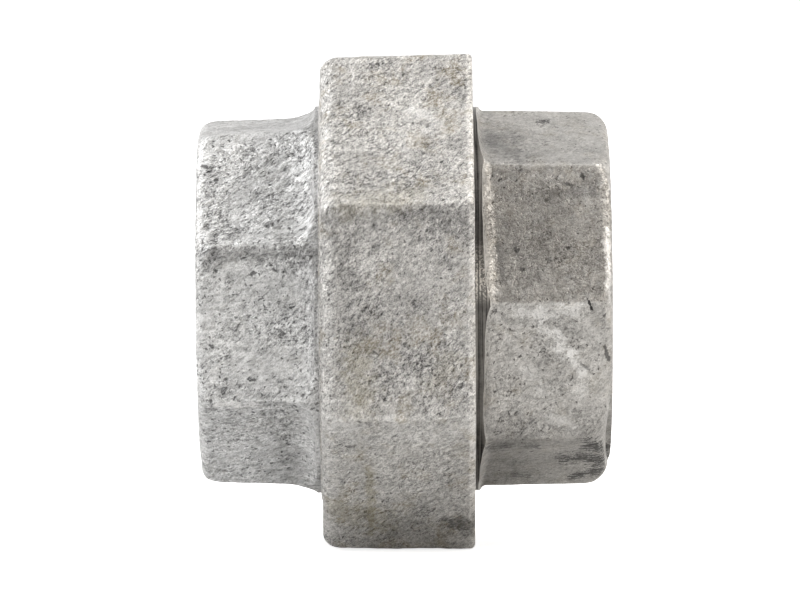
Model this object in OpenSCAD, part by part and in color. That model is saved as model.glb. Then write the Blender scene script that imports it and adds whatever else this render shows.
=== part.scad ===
// Pipe union, DN 50 (2 inch), galvanised malleable iron, female by female, flat seat.
// Three castings and one sealing ring on a common axis:
//   threaded_end  octagonal socket with the male union thread and a flat seat
//   tail_end      octagonal socket whose collar is held inside the nut
//   union_nut     octagonal nut: female union thread one side, inner collar the other
//   seat_gasket   flat ring clamped between the two seat faces
// Axis along X, +X towards the threaded end, +Z up, origin on the axis midway
// between the two end faces. All sizes in millimetres, drawn tightened.

/* [Overall] */
// Length over the two end faces
overall_length = 78; // [77:0.5:84]
// Where the gasket's middle plane lies on the axis
seal_x = -4.1; // [-4.6:0.1:-3.6]

/* [Pipe sockets] */
// Bore of the pipe socket at the thread crests (Rp 2 minor diameter)
pipe_minor_d = 56.656; // [55.5:0.001:57.5]
// Length of the pipe thread in each socket, mouth chamfer included
pipe_thread_length = 24; // [22:0.5:25]
// Diameter of the chamfer at the socket mouth
mouth_d = 60.6; // [60:0.1:61.4]
// Bore of the waterway between the two pipe threads
waterway_d = 61; // [60.2:0.1:61.8]

/* [Octagonal ends] */
// Across flats of the tail end at its outer face
tail_outer_flats = 66.2; // [65.6:0.1:67]
// Across flats of the tail end beside the nut
tail_inner_flats = 67.8; // [67:0.1:68.4]
// Across flats of the threaded end at its outer face
threaded_outer_flats = 65.6; // [65.4:0.1:66.6]
// Across flats of the threaded end beside the nut
threaded_inner_flats = 66.8; // [66.4:0.1:67.6]
// Radius left at the octagon corners after rounding
end_corner_r = 36; // [35.4:0.1:36.4]
// Radius of the fillet between an octagon and its round neck
neck_fillet = 3.6; // [3.2:0.1:3.8]
// Size of the rim chamfer on the outer faces
rim = 1.3; // [0.6:0.1:1.6]

/* [Union nut] */
// Across flats of the nut
nut_flats = 93.5; // [92:0.5:98]
// Width of the nut along the axis
nut_width = 28.7; // [28:0.1:29.2]
// Distance from the gasket's middle plane to the nut's open face
nut_reach = 17.2; // [16.8:0.1:17.5]
// Thickness of the inner collar that pulls the tail end in
nut_collar = 5.6; // [5:0.1:6]
// Hole through the collar
nut_hole_d = 74.6; // [74.4:0.1:75]
// Radius left at the nut's corners after rounding
nut_corner_r = 49.8; // [49.4:0.1:50]
// Height of the low cast hub round the hole
nut_hub = 0.4; // [0.2:0.1:0.8]

/* [Union thread] */
// Nominal outside diameter of the union thread (G 2 3/4)
union_major_d = 81.534; // [81.5:0.001:81.6]
// Mean (pitch) diameter of the union thread, at which both threads are drawn plain
union_pitch_d = 80.055; // [80:0.001:80.1]
// Radial running clearance between the two threads at the pitch diameter
thread_clearance = 0.06; // [0.03:0.01:0.1]

/* [Tail collar and neck] */
// Outside diameter of the tail end's collar
collar_d = 78.1; // [77.8:0.1:78.2]
// Diameter of the tail end's neck, which runs through the nut's hole
neck_d = 74; // [73.6:0.1:74]
// Diameter of the turned band between the union thread and the threaded end's octagon
band_d = 73.4; // [73:0.1:74]
// Gap between the nut's collar and the tail end's collar, and each side of the gasket
seat_gap = 0.05; // [0.03:0.01:0.08]

/* [Gasket] */
// Space between the two seat faces
seat_space = 2; // [1.6:0.1:2.4]
// Outside diameter of the gasket
gasket_od = 77.6; // [76:0.1:77.8]
// Inside diameter of the gasket
gasket_id = 61.6; // [61.2:0.1:63]

/* [Rest position] */
// Turn of the tail end's octagon from flat-side-down
tail_turn = 5.3; // [-22:0.1:22]
// Turn of the threaded end's octagon from flat-side-down
threaded_turn = 22; // [-22:0.1:22]

/* [Hidden] */
$fn = 96;

IRON = [0.66, 0.66, 0.65];
IRON_NUT = [0.60, 0.60, 0.59];
FIBRE = [0.16, 0.24, 0.20];

past = 1; // how far a cut or a trimming solid runs past a face

// Faces along the axis
end_x = overall_length / 2;
nut_open_x = seal_x + nut_reach;
nut_back_x = nut_open_x - nut_width;
nut_shoulder_x = nut_back_x + nut_collar;
collar_back_x = nut_shoulder_x + seat_gap;
tail_seat_x = seal_x - seat_space / 2;
male_seat_x = seal_x + seat_space / 2;
thread_end_x = nut_open_x - 3.6;
band_end_x = nut_open_x + 0.9;
octagon_start_x = nut_open_x + 2.2; // threaded end's octagon, nut side

// Radii. The male boss keeps under the pitch radius and the nut's bore over it.
male_r = (union_pitch_d - thread_clearance) / 2;
nut_bore_r = (union_pitch_d + thread_clearance) / 2;
nut_relief_r = union_major_d / 2 + 0.5;
nut_hole_r = nut_hole_d / 2;
band_r = band_d / 2;
neck_r = neck_d / 2;
collar_r = collar_d / 2;
minor_r = pipe_minor_d / 2;
waterway_r = waterway_d / 2;

// Edge sizes
end_round = 2.2;      // outer corners of both octagonal ends
male_lead = 1.2;      // chamfer on the male boss at its seat
collar_edge = 0.5;    // chamfers on the tail collar
nut_draft = 1;        // the nut's flats are this much closer at its back face
nut_back_rim = 1.6;
nut_open_rim = 0.4;
nut_back_round = 2.4;
nut_open_round = 0.6;
nut_mouth = 1.5;      // chamfer at the nut's open face
relief_width = 3.6;   // groove beside the nut's shoulder
hub_top_wall = 0.9;   // hub radius beyond the hole, at its top and its foot
hub_foot_wall = 1.7;

// ---- Shared shapes, drawn with the pipe axis along Z ----

// Lays the pipe axis along +X.
module along_x() rotate([0, 90, 0]) children();

// Solids of revolution standing from z0 to z1.
module drum(r, z0, z1) translate([0, 0, z0]) cylinder(r = r, h = z1 - z0);
module cone(r0, r1, z0, z1) translate([0, 0, z0]) cylinder(r1 = r0, r2 = r1, h = z1 - z0);

// Space inside eight planes that pass at flat_r from the axis at height z,
// each leaning by tilt degrees (positive opens upwards).
block = 130; // side of the cubes that stand for half spaces
module eight_planes(flat_r, z, tilt)
    intersection_for(i = [0:7]) rotate(45 * i)
        translate([flat_r, 0, z]) rotate([0, tilt, 0])
            translate([-block, -block / 2, -block / 2]) cube([block, block, block]);

// Octagonal bar from z0 to z1, drafted from flats0 to flats1 across flats,
// with 45 degree rim chamfers of rim0 at z0 and rim1 at z1.
module octagon(flats0, flats1, z0, z1, rim0 = 0, rim1 = 0, turn = 0) {
    height = z1 - z0;
    draft = atan((flats1 - flats0) / 2 / height);
    intersection() {
        rotate(turn) eight_planes(flats0 / 2, z0, draft);
        translate([-block / 2, -block / 2, z0]) cube([block, block, height]);
        if (rim0 > 0) rotate(turn) eight_planes(flats0 / 2 - rim0, z0, 45);
        if (rim1 > 0) rotate(turn) eight_planes(flats1 / 2 - rim1, z1, -45);
    }
}

// Round bar with outer edges rounded by edge0 at z0 and edge1 at z1; it takes
// the sharp corners off an octagon.
module rounded_bar(r, z0, z1, edge0, edge1) {
    height = z1 - z0;
    lap = 0.1;
    rotate_extrude() {
        translate([0, z0 + edge0]) square([r, height - edge0 - edge1]);
        translate([0, z0]) square([r - max(edge0, edge1), height]);
        if (edge0 > 0) intersection() {
            translate([r - edge0, z0 + edge0]) circle(edge0);
            translate([0, z0]) square([r, height]);
        }
        if (edge1 > 0) intersection() {
            translate([r - edge1, z1 - edge1]) circle(edge1);
            translate([0, z0]) square([r, height]);
        }
        if (edge0 > 0) translate([0, z0]) square([r - edge0, edge0 + lap]);
        if (edge1 > 0) translate([0, z1 - edge1 - lap]) square([r - edge1, edge1 + lap]);
    }
}

// Concave fillet ring of radius r at height z, widening by neck_fillet over the
// same height upwards (dir = 1) or downwards (dir = -1).
module fillet_ring(r, z, dir) {
    root = 3; // depth of the ring inside r
    rotate_extrude() difference() {
        translate([r - root, min(z, z + dir * neck_fillet)])
            square([neck_fillet + root, neck_fillet]);
        translate([r + neck_fillet, z]) circle(neck_fillet);
    }
}

// Everything cut from one end piece: mouth chamfer, plain bore at the thread's
// crests, run-out, and the waterway on to the seat.
module pipe_bore(mouth, seat) {
    chamfer = 1.6;
    runout = 1.2;
    lap = 0.01;
    mouth_past = 0.06; // the chamfer starts this far outside the end face
    mouth_r = mouth_d / 2 + 0.1;
    if (mouth < seat) {
        inner = mouth + pipe_thread_length;
        drum(minor_r, mouth, inner);
        cone(mouth_r, minor_r, mouth - mouth_past, mouth + chamfer);
        cone(minor_r, waterway_r, inner - lap, inner + runout);
        drum(waterway_r, inner + runout, seat + past);
    } else {
        inner = mouth - pipe_thread_length;
        drum(minor_r, inner, mouth);
        cone(minor_r, mouth_r, mouth - chamfer, mouth + mouth_past);
        cone(waterway_r, minor_r, inner - runout, inner + lap);
        drum(waterway_r, seat - past, inner - runout);
    }
}

// ---- Pieces ----

module threaded_end() color(IRON) along_x() difference() {
    union() {
        intersection() {
            octagon(threaded_inner_flats, threaded_outer_flats, octagon_start_x, end_x,
                rim1 = rim, turn = threaded_turn);
            rounded_bar(end_corner_r, octagon_start_x - past, end_x, 0, end_round);
        }
        // fillet down to the octagon's flats, trimmed to the band's radius
        intersection() {
            fillet_ring(threaded_inner_flats / 2, band_end_x + neck_fillet, -1);
            drum(band_r, band_end_x - past, end_x);
        }
        // turned band, and the boss that carries the thread
        drum(band_r, thread_end_x, band_end_x + 0.05);
        cone(male_r, band_r, thread_end_x, thread_end_x + male_r - band_r);
        drum(male_r, male_seat_x + male_lead, thread_end_x);
        cone(male_r - male_lead, male_r, male_seat_x, male_seat_x + male_lead);
    }
    pipe_bore(end_x, male_seat_x);
}

module tail_end() color(IRON) along_x() difference() {
    union() {
        intersection() {
            octagon(tail_outer_flats, tail_inner_flats, -end_x, nut_back_x,
                rim0 = rim, turn = tail_turn);
            rounded_bar(end_corner_r, -end_x, nut_back_x + past, end_round, 0);
        }
        // fillet up to the neck that passes through the nut
        intersection() {
            fillet_ring(tail_inner_flats / 2, nut_back_x - neck_fillet, 1);
            drum(neck_r, -end_x, nut_back_x + past);
        }
        drum(neck_r, nut_back_x - 0.6, collar_back_x + collar_edge);
        // collar gripped by the nut, with eased edges
        cone(collar_r - collar_edge, collar_r, collar_back_x, collar_back_x + collar_edge);
        drum(collar_r, collar_back_x + collar_edge, tail_seat_x - collar_edge);
        cone(collar_r, collar_r - collar_edge, tail_seat_x - collar_edge, tail_seat_x);
    }
    pipe_bore(-end_x, tail_seat_x);
}

module union_nut() color(IRON_NUT) along_x() difference() {
    union() {
        intersection() {
            octagon(nut_flats - nut_draft, nut_flats, nut_back_x, nut_open_x,
                nut_back_rim, nut_open_rim);
            rounded_bar(nut_corner_r, nut_back_x, nut_open_x, nut_back_round, nut_open_round);
        }
        // low cast hub round the hole
        cone(nut_hole_r + hub_top_wall, nut_hole_r + hub_foot_wall,
            nut_back_x - nut_hub, nut_back_x + 0.01);
    }
    drum(nut_hole_r, nut_back_x - 2, nut_open_x + past);
    drum(nut_relief_r, nut_shoulder_x, nut_shoulder_x + relief_width);
    // thread bore, started inside the relief groove
    drum(nut_bore_r, nut_shoulder_x + 1, nut_open_x + past);
    cone(nut_bore_r, nut_bore_r + nut_mouth, nut_open_x - nut_mouth, nut_open_x);
}

module seat_gasket() color(FIBRE) along_x() difference() {
    drum(gasket_od / 2, tail_seat_x + seat_gap, male_seat_x - seat_gap);
    drum(gasket_id / 2, tail_seat_x - past, male_seat_x + past);
}

threaded_end();
tail_end();
union_nut();
seat_gasket();
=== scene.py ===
# A galvanised pipe union: a threaded end and a tail end, both octagonal castings with a pipe
# thread in the mouth, an octagonal union nut over their joint and a fibre gasket between seats.
# The axis lies along X, with the threaded end's mouth at +X and the tail end's at -X. The camera
# stands on the -Y side. Angles round the axis run from +Y towards +Z, so 180 degrees faces -Y.
# Meshes are worked out in millimetres and scaled to metres when they are made.
import bpy
import math
import numpy as np
from functools import cached_property
from itertools import product
from mathutils import Matrix, Vector


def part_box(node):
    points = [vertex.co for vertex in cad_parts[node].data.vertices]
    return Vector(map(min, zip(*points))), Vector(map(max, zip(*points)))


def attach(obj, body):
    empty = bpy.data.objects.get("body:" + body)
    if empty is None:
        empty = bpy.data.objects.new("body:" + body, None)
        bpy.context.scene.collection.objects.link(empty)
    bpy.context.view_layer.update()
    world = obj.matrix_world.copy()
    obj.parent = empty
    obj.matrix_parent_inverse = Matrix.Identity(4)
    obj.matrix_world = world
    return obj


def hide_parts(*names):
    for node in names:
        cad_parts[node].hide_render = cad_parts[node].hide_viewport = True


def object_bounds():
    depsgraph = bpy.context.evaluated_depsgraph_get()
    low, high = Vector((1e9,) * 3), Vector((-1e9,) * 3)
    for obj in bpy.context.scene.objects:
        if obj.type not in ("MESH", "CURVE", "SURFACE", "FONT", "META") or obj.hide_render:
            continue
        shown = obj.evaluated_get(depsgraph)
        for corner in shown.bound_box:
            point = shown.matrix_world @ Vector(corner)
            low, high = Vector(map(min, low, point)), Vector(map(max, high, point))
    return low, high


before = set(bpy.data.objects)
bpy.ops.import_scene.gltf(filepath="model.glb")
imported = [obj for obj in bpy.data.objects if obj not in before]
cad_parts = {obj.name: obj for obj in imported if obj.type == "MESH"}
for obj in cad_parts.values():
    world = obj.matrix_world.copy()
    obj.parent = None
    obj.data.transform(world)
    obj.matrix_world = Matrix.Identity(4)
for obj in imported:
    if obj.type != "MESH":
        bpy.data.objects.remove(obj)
cad_box = [[float(c) for c in corner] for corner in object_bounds()]

# ---------------------------------------------------------------- sizes, mm
MM = 1000.0                # millimetres in a metre


def span(node):
    """Low and high corners of a CAD piece."""
    return [[c * MM for c in corner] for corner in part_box(node)]


threaded_low, threaded_high = span("threaded_end")
tail_low, tail_high = span("tail_end")
nut_low, nut_high = span("union_nut")
gasket_low, gasket_high = span("seat_gasket")

THREADED_MOUTH = threaded_high[0]
THREADED_SEAT = threaded_low[0]
THREADED_NECK = 36.7       # radius of the turned band beside the nut
BODY_START = 15.0          # x where the threaded end's taper is measured from
TAIL_MOUTH = tail_low[0]
TAIL_SEAT = tail_high[0]
TAIL_NECK = 37.0           # radius of the neck inside the nut's hole
TAIL_COLLAR = 39.05        # radius of the collar behind the tail end's seat
NUT_OPEN = nut_high[0]     # open face of the nut
NUT_HUB = nut_low[0]       # front of the low hub round the nut's hole
NUT_BACK = NUT_HUB + 0.4   # back face of the nut
NUT_HOLE = 37.3            # radius of the nut's hole
SHOULDER = NUT_BACK + 5.6  # inside face of the nut's collar
NUT_FLAT = nut_high[2]     # half the nut's width over flats at its open face
GASKET_BORE = 30.8
PITCH = 2.309
UNION_MAJOR, UNION_MINOR = 81.534 / 2, 78.576 / 2
PIPE_MAJOR, PIPE_MINOR = 59.614 / 2, 56.656 / 2
PIPE_LENGTH = 24.0
MOUTH_CONE, INNER_CONE = 30.35, 30.4   # radii of the chamfers at the pipe thread's ends
BORE_LIP = 30.45           # radius where a mouth's end face meets the bore
WATER_R = 30.5

SECTOR = math.pi / 4
HALF = SECTOR / 2
SEAM = -0.3                # angle at which a ring's columns begin and end
CAST, TURNED, THREAD, FACE = 0, 1, 2, 3   # material slots


# ------------------------------------------------------------- seeded noise
def hashed(cell, seed):
    x, y, z = cell.astype(np.uint64).T
    with np.errstate(over="ignore"):
        code = (x * np.uint64(0x9E3779B97F4A7C15)
                ^ y * np.uint64(0xC2B2AE3D27D4EB4F)
                ^ z * np.uint64(0x165667B19E3779F9)
                ^ np.uint64(seed * 7919 + 17))
        code ^= code >> np.uint64(31)
        code *= np.uint64(0xBF58476D1CE4E5B9)
        code ^= code >> np.uint64(27)
        code *= np.uint64(0x94D049BB133111EB)
        code ^= code >> np.uint64(31)
    return code


def noise(points, seed):
    """Gradient noise at points (n, 3), about -1 to 1."""
    cell = np.floor(points).astype(np.int64)
    offset = points - cell
    ease = offset * offset * offset * (offset * (offset * 6 - 15) + 10)
    total = np.zeros(len(points))
    for step in product((0, 1), repeat=3):
        code = hashed(cell + step + 100000, seed)
        slope_x, slope_y, slope_z = (
            (code >> np.uint64(bits) & np.uint64(1023)).astype(float) / 511.5 - 1
            for bits in (0, 10, 20))
        weight_x, weight_y, weight_z = np.where(step, ease, 1 - ease).T
        x, y, z = (offset - step).T
        total += weight_x * weight_y * weight_z * (slope_x * x + slope_y * y + slope_z * z)
    return total * 1.5


def twisted(points, slope, stretch):
    """Points turned about X in proportion to x, so that features drawn out along X slant."""
    radius = np.hypot(points[:, 1], points[:, 2])
    angle = np.arctan2(points[:, 2], points[:, 1]) + points[:, 0] * slope / 36.0
    return np.stack([points[:, 0] * stretch, radius * np.cos(angle), radius * np.sin(angle)], 1)


# ------------------------------------------------------------ profile shapes
def ring_angles(corner, per_side):
    """Angles once round from the seam, closer together near the eight corners."""
    core = int(per_side * 0.26)
    rest = per_side - core
    side = np.concatenate([np.linspace(-HALF, -0.062, rest // 2, endpoint=False),
                           np.linspace(-0.062, 0.062, core, endpoint=False),
                           np.linspace(0.062, HALF, rest - rest // 2, endpoint=False)])
    angles = np.concatenate([corner + SECTOR * i + side for i in range(8)])
    first = angles[0] + 2 * math.pi * math.floor((SEAM - angles[0]) / (2 * math.pi))
    return np.append(angles - angles[0] + first, first + 2 * math.pi)


def from_corner(angles, corner):
    """Signed angle from the nearest corner of the octagon."""
    return np.mod(angles - corner + HALF, SECTOR) - HALF


def octagon_radius(angles, corner, flat, rounding, sink):
    """Radius of a rounded octagon: half its width over flats, and the flats drawn in by sink."""
    off_corner = from_corner(angles, corner)
    off_flat = HALF - np.abs(off_corner)
    centre = (flat - rounding) / math.cos(HALF)
    limit = np.arctan((flat - rounding) * math.tan(HALF) / flat)
    straight = flat / np.cos(off_flat)
    arc = centre * np.cos(off_corner) + np.sqrt(
        np.maximum(rounding * rounding - (centre * np.sin(off_corner)) ** 2, 0))
    across = np.tan(off_flat) / math.tan(HALF)
    return np.where(off_flat <= limit, straight, arc) - sink * (1 - across ** 4)


class Octagon:
    """Outside of a casting. flat and wobble are functions of x: half the width over flats,
    and the angle by which the section is turned."""

    def __init__(self, angles, corner, flat, wobble, rounding, sink):
        self.angles, self.corner, self.flat, self.wobble = angles, corner, flat, wobble
        self.rounding, self.sink = rounding, sink

    def radius(self, x, inset=0.0, sharpen=0.0, hollow=1.0):
        """Radius at x, drawn in by inset, with sharper corners and a share of the sink."""
        return octagon_radius(self.angles + self.wobble(x), self.corner, self.flat(x) - inset,
                              max(self.rounding - sharpen, 0.5), self.sink * hollow)


def taper(x0, flat0, x1, flat1):
    return lambda x: flat0 + (flat1 - flat0) * (x - x0) / (x1 - x0)


def soft_min(a, b, ease):
    """The smaller of a and b, eased where they meet."""
    share = np.clip(0.5 + 0.5 * (b - a) / ease, 0, 1)
    return b + (a - b) * share - ease * share * (1 - share)


def dome(x, end, sign, radius, length, height):
    """Turned envelope, an ellipse, that takes the corners off an octagon's outer end."""
    u = np.clip((length - sign * (end - x)) / length, 0, 1)
    return radius - height * (1 - np.sqrt(np.maximum(1 - u * u, 0)))


def ridge(angles, corner, radius, width):
    """1 along the octagon's corners, fading out over width."""
    return np.exp(-(from_corner(angles, corner) * radius / width) ** 2)


def near(angles, degrees, width):
    """1 at an angle, fading out over width in radians."""
    return np.exp(-((np.mod(angles, 2 * math.pi) - math.radians(degrees)) / width) ** 2)


def clamp(value):
    return min(max(value, 0.0), 1.0)


class Ring:
    """Rows of a closed profile: x, radius, material, roughness weight and edge brightness
    at each angle. Edge brightness is painted light: highlights on corners, rims and lips, with
    some wear on the corners, and painted shade where it is negative."""

    def __init__(self, angles):
        self.angles, self.rows = angles, []

    def add(self, x, radius, material=CAST, weight=0.0, edge=0.0):
        self.rows.append([np.broadcast_to(np.asarray(value, float), self.angles.shape)
                          for value in (x, radius, material, weight, edge)])

    def trace(self, material, *stations):
        """Smooth rows through (x, radius) stations."""
        for x, radius in stations:
            self.add(x, radius, material)

    def table(self):
        return np.array(self.rows).swapaxes(0, 1)

    def points(self):
        x, radius = self.table()[:2]
        return np.stack([x, radius * np.cos(self.angles), radius * np.sin(self.angles)], 2)


# Whitworth form: phase along one pitch and height above the root, as a share of the depth
THREAD_FORM = [(0.0, 1.0), (0.1167, 0.9), (0.3833, 0.1), (0.5, 0.0), (0.6167, 0.1), (0.8833, 0.9)]


def thread_rows(angles, start, end, root, crest, start_cone, end_cone, internal, ridge_x=0.0):
    """(x, radius) rows that follow the helix. A ridge lies at ridge_x + PITCH * turn.
    The cones are the radii of 45 degree chamfers at the two ends."""
    rows = []
    turn = angles / (2 * math.pi)
    first = math.floor((start - ridge_x) / PITCH - turn.max()) - 1
    last = math.ceil((end - ridge_x) / PITCH - turn.min()) + 1
    for k in range(first, last + 1):
        for phase, height in THREAD_FORM:
            x = ridge_x + PITCH * (k + phase + turn)
            if x.max() < start or x.min() > end:
                continue
            x = np.clip(x, start, end)
            radius = np.full_like(x, root + (crest - root) * height)
            if internal:
                cone = np.maximum(start_cone - (x - start), end_cone - (end - x))
                rows.append((x, np.maximum(radius, cone)))
            else:
                cone = np.minimum(start_cone + (x - start), end_cone + (end - x))
                rows.append((x, np.minimum(radius, cone)))
    return rows


def add_rim(ring, octagon, end, sign, length, height, weight, envelope, slopes):
    """Rounded edge between the octagon's sides and its end face."""
    # edge lightens the middle of the rounding: partly wear, partly a painted highlight.
    for slope in slopes:
        x = end - sign * length * (1 - math.sin(slope))
        inset = height * (1 - math.cos(slope))
        radius = octagon.radius(x, inset, sharpen=inset * 0.5, hollow=math.cos(slope))
        ring.add(x, soft_min(radius, envelope(x), 0.5), weight=weight,
                 edge=math.sin(2 * slope) ** 2 * 0.6)


def add_end_face(ring, rim_x, rim_radius, bore_x, shares):
    """Rows between the rim and the lip of the bore."""
    for share in shares:
        ring.add(rim_x + (bore_x - rim_x) * share, rim_radius + (BORE_LIP - rim_radius) * share,
                 weight=0.35)


# ------------------------------------------------------------- mesh building
def skin(points):
    """Unit normals of a grid (rows, columns, 3) whose columns close on themselves."""
    grid = points[:, :-1]
    along = np.gradient(grid, axis=0)
    around = np.roll(grid, -1, 1) - np.roll(grid, 1, 1)
    normals = np.cross(along, around)
    normals /= np.maximum(np.linalg.norm(normals, axis=2, keepdims=True), 1e-12)
    return np.concatenate([normals, normals[:, :1]], 1)


def normal_sign(ring):
    """-1 if skin's normals point towards the axis at the ring's middle row, else 1."""
    points = ring.points()
    middle = len(points) // 2
    return -1 if np.mean((skin(points) * points)[middle, :, 1:].sum(1)) < 0 else 1


def roughened(ring, rough, sign):
    """The ring's points moved along their normals, and their relief, pit, coarse and edge."""
    points = ring.points()
    normals = skin(points) * sign
    weight, edge = ring.table()[3:]
    push, pit, coarse = rough(points.reshape(-1, 3))
    push = push * weight.reshape(-1)
    points = points + normals * push.reshape(weight.shape)[..., None]
    pit = pit * (weight.reshape(-1) > 0)
    return points.reshape(-1, 3), np.stack([push, pit, coarse, edge.reshape(-1)])


def strip(row, following, materials):
    """Triangles between two rows of vertex numbers, with their materials."""
    quads = np.stack([row[:-1], row[1:], following[1:], following[:-1]], 1)
    return (np.concatenate([quads[:, [0, 1, 2]], quads[:, [0, 2, 3]]]),
            np.concatenate([materials[:-1], materials[:-1]]))


def stitch(fine, sparse, materials, flip):
    """Triangles between a row and one with half as many columns."""
    left, middle, right = fine[:-1:2], fine[1::2], fine[2::2]
    triangles = np.concatenate([np.stack([left, middle, sparse[:-1]], 1),
                                np.stack([middle, sparse[1:], sparse[:-1]], 1),
                                np.stack([middle, right, sparse[1:]], 1)])
    slots = np.concatenate([materials[:-1:2], materials[:-1:2], materials[1::2]])
    return (triangles[:, ::-1] if flip else triangles), slots


def ring_triangles(outer, inner):
    """Triangles of the whole closed profile, with their materials."""
    parts, grids, count = [], [], 0
    for ring in (outer, inner):
        shape = (len(ring.rows), len(ring.angles))
        index = np.arange(shape[0] * shape[1]).reshape(shape) + count
        material = ring.table()[2]
        parts += [strip(index[k], index[k + 1], material[k]) for k in range(shape[0] - 1)]
        grids.append((index, material))
        count += index.size
    (outer_index, outer_material), (inner_index, inner_material) = grids
    doubled = np.repeat(inner_material[-1], 2)[:len(outer.angles)]
    parts.append(stitch(outer_index[-1], inner_index[0], outer_material[-1], flip=False))
    parts.append(stitch(outer_index[0], inner_index[-1], doubled, flip=True))
    return [np.concatenate(part) for part in zip(*parts)]


def weld(points, data, triangles, slots):
    """Joins the seam and the collapsed ends of the thread rows."""
    key = np.round(points * 1e5).astype(np.int64)
    _, first, index = np.unique(key, axis=0, return_index=True, return_inverse=True)
    triangles = index.reshape(-1)[triangles]
    a, b, c = triangles.T
    whole = (a != b) & (b != c) & (c != a)
    return points[first], data[:, first], triangles[whole], slots[whole]


def close_gaps(triangles, slots, count):
    """Closes the small gaps left where a thread runs out across the seam."""
    edges = np.concatenate([triangles[:, [0, 1]], triangles[:, [1, 2]], triangles[:, [2, 0]]])
    edges = edges.astype(np.int64)
    loose = edges[~np.isin(edges[:, 0] * count + edges[:, 1], edges[:, 1] * count + edges[:, 0])]
    follow = {int(b): int(a) for a, b in loose}
    fill = []
    while follow:
        start = min(follow)
        loop, vertex = [start], follow.pop(start)
        while vertex != start and vertex in follow:
            loop.append(vertex)
            vertex = follow.pop(vertex)
        fill += [(loop[0], loop[k], loop[k + 1]) for k in range(1, len(loop) - 1)]
    if fill:
        triangles = np.concatenate([triangles, np.array(fill)])
        slots = np.append(slots, [THREAD] * len(fill))
    return triangles, slots


def make_mesh(name, points, data, triangles, slots, materials):
    mesh = bpy.data.meshes.new(name)
    mesh.vertices.add(len(points))
    mesh.vertices.foreach_set("co", (points / MM).astype(np.float32).ravel())
    mesh.loops.add(len(triangles) * 3)
    mesh.loops.foreach_set("vertex_index", triangles.astype(np.int32).ravel())
    mesh.polygons.add(len(triangles))
    mesh.polygons.foreach_set("loop_start", np.arange(0, len(triangles) * 3, 3, dtype=np.int32))
    mesh.polygons.foreach_set("loop_total", np.full(len(triangles), 3, np.int32))
    for material in materials:
        mesh.materials.append(material)
    mesh.polygons.foreach_set("material_index", slots.astype(np.int32))
    mesh.polygons.foreach_set("use_smooth", np.ones(len(triangles), bool))
    mesh.update(calc_edges=True)
    mesh.validate()
    for label, values in zip(("relief", "pit", "coarse", "edge"), data):
        attribute = mesh.attributes.new(label, "FLOAT", "POINT")
        attribute.data.foreach_set("value", values.astype(np.float32))
    return mesh


def build(name, node, outer, inner, rough, materials):
    """One closed piece. The profile runs along outer, on through inner, which has every
    other column, and back to outer's first row."""
    sign = normal_sign(outer)
    outer_points, outer_data = roughened(outer, rough, sign)
    inner_points, inner_data = roughened(inner, rough, sign)
    points, data, triangles, slots = weld(
        np.concatenate([outer_points, inner_points]),
        np.concatenate([outer_data, inner_data], axis=1), *ring_triangles(outer, inner))
    triangles, slots = close_gaps(triangles, slots, len(points))
    used, index = np.unique(triangles, return_inverse=True)
    points, data, triangles = points[used], data[:, used], index.reshape(-1, 3)
    a, b, c = (points[triangles[:, k]] for k in range(3))
    if np.einsum("ij,ij->i", a, np.cross(b, c)).sum() < 0:
        triangles = triangles[:, ::-1]
    mesh = make_mesh(name, points, data, triangles, slots, materials)
    piece = bpy.data.objects.new(name, mesh)
    bpy.context.scene.collection.objects.link(piece)
    mesh.set_sharp_from_angle(angle=math.radians(42))
    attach(piece, node)
    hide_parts(node)


# --------------------------------------------------------------- node graphs
class Signal:
    """A number that varies over a surface; arithmetic on it adds Math nodes."""

    def __init__(self, graph, socket):
        self.graph, self.socket = graph, socket

    def __add__(self, other):
        return self.graph.math("ADD", self, other)

    def __sub__(self, other):
        return self.graph.math("SUBTRACT", self, other)

    def __mul__(self, other):
        return self.graph.math("MULTIPLY", self, other)

    def scaled(self, factor, plus):
        return self.graph.math("MULTIPLY_ADD", self, factor, plus)

    def remap(self, source, target=(0.0, 1.0), kind="SMOOTHSTEP"):
        """Carries the source range over to the target range, and holds it there outside."""
        node = self.graph.node("MapRange", {0: self, 1: source[0], 2: source[1],
                                            3: target[0], 4: target[1]}, interpolation_type=kind)
        return Signal(self.graph, node.outputs[0])


class Graph:
    """Adds nodes to a tree."""

    def __init__(self, tree):
        self.tree = tree

    def link(self, value, socket):
        """Sets an input to a constant, or feeds it from a signal or a socket."""
        if isinstance(value, (int, float, tuple)):
            socket.default_value = value
        else:
            self.tree.links.new(getattr(value, "socket", value), socket)

    def node(self, kind, inputs=None, **settings):
        node = self.tree.nodes.new("ShaderNode" + kind)
        for name, value in settings.items():
            setattr(node, name, value)
        for key, value in (inputs or {}).items():
            self.link(value, node.inputs[key])
        return node

    def math(self, operation, a, b=0.0, *more, clamp=False):
        node = self.node("Math", dict(enumerate((a, b, *more))), operation=operation,
                         use_clamp=clamp)
        return Signal(self, node.outputs[0])

    def split(self, vector):
        node = self.node("SeparateXYZ", {0: vector})
        return [Signal(self, output) for output in node.outputs]

    def mix(self, factor, a, b, mode="MIX"):
        return self.node("Mix", {"Factor": factor, 6: a, 7: b}, data_type="RGBA",
                         blend_type=mode).outputs[2]


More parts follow.
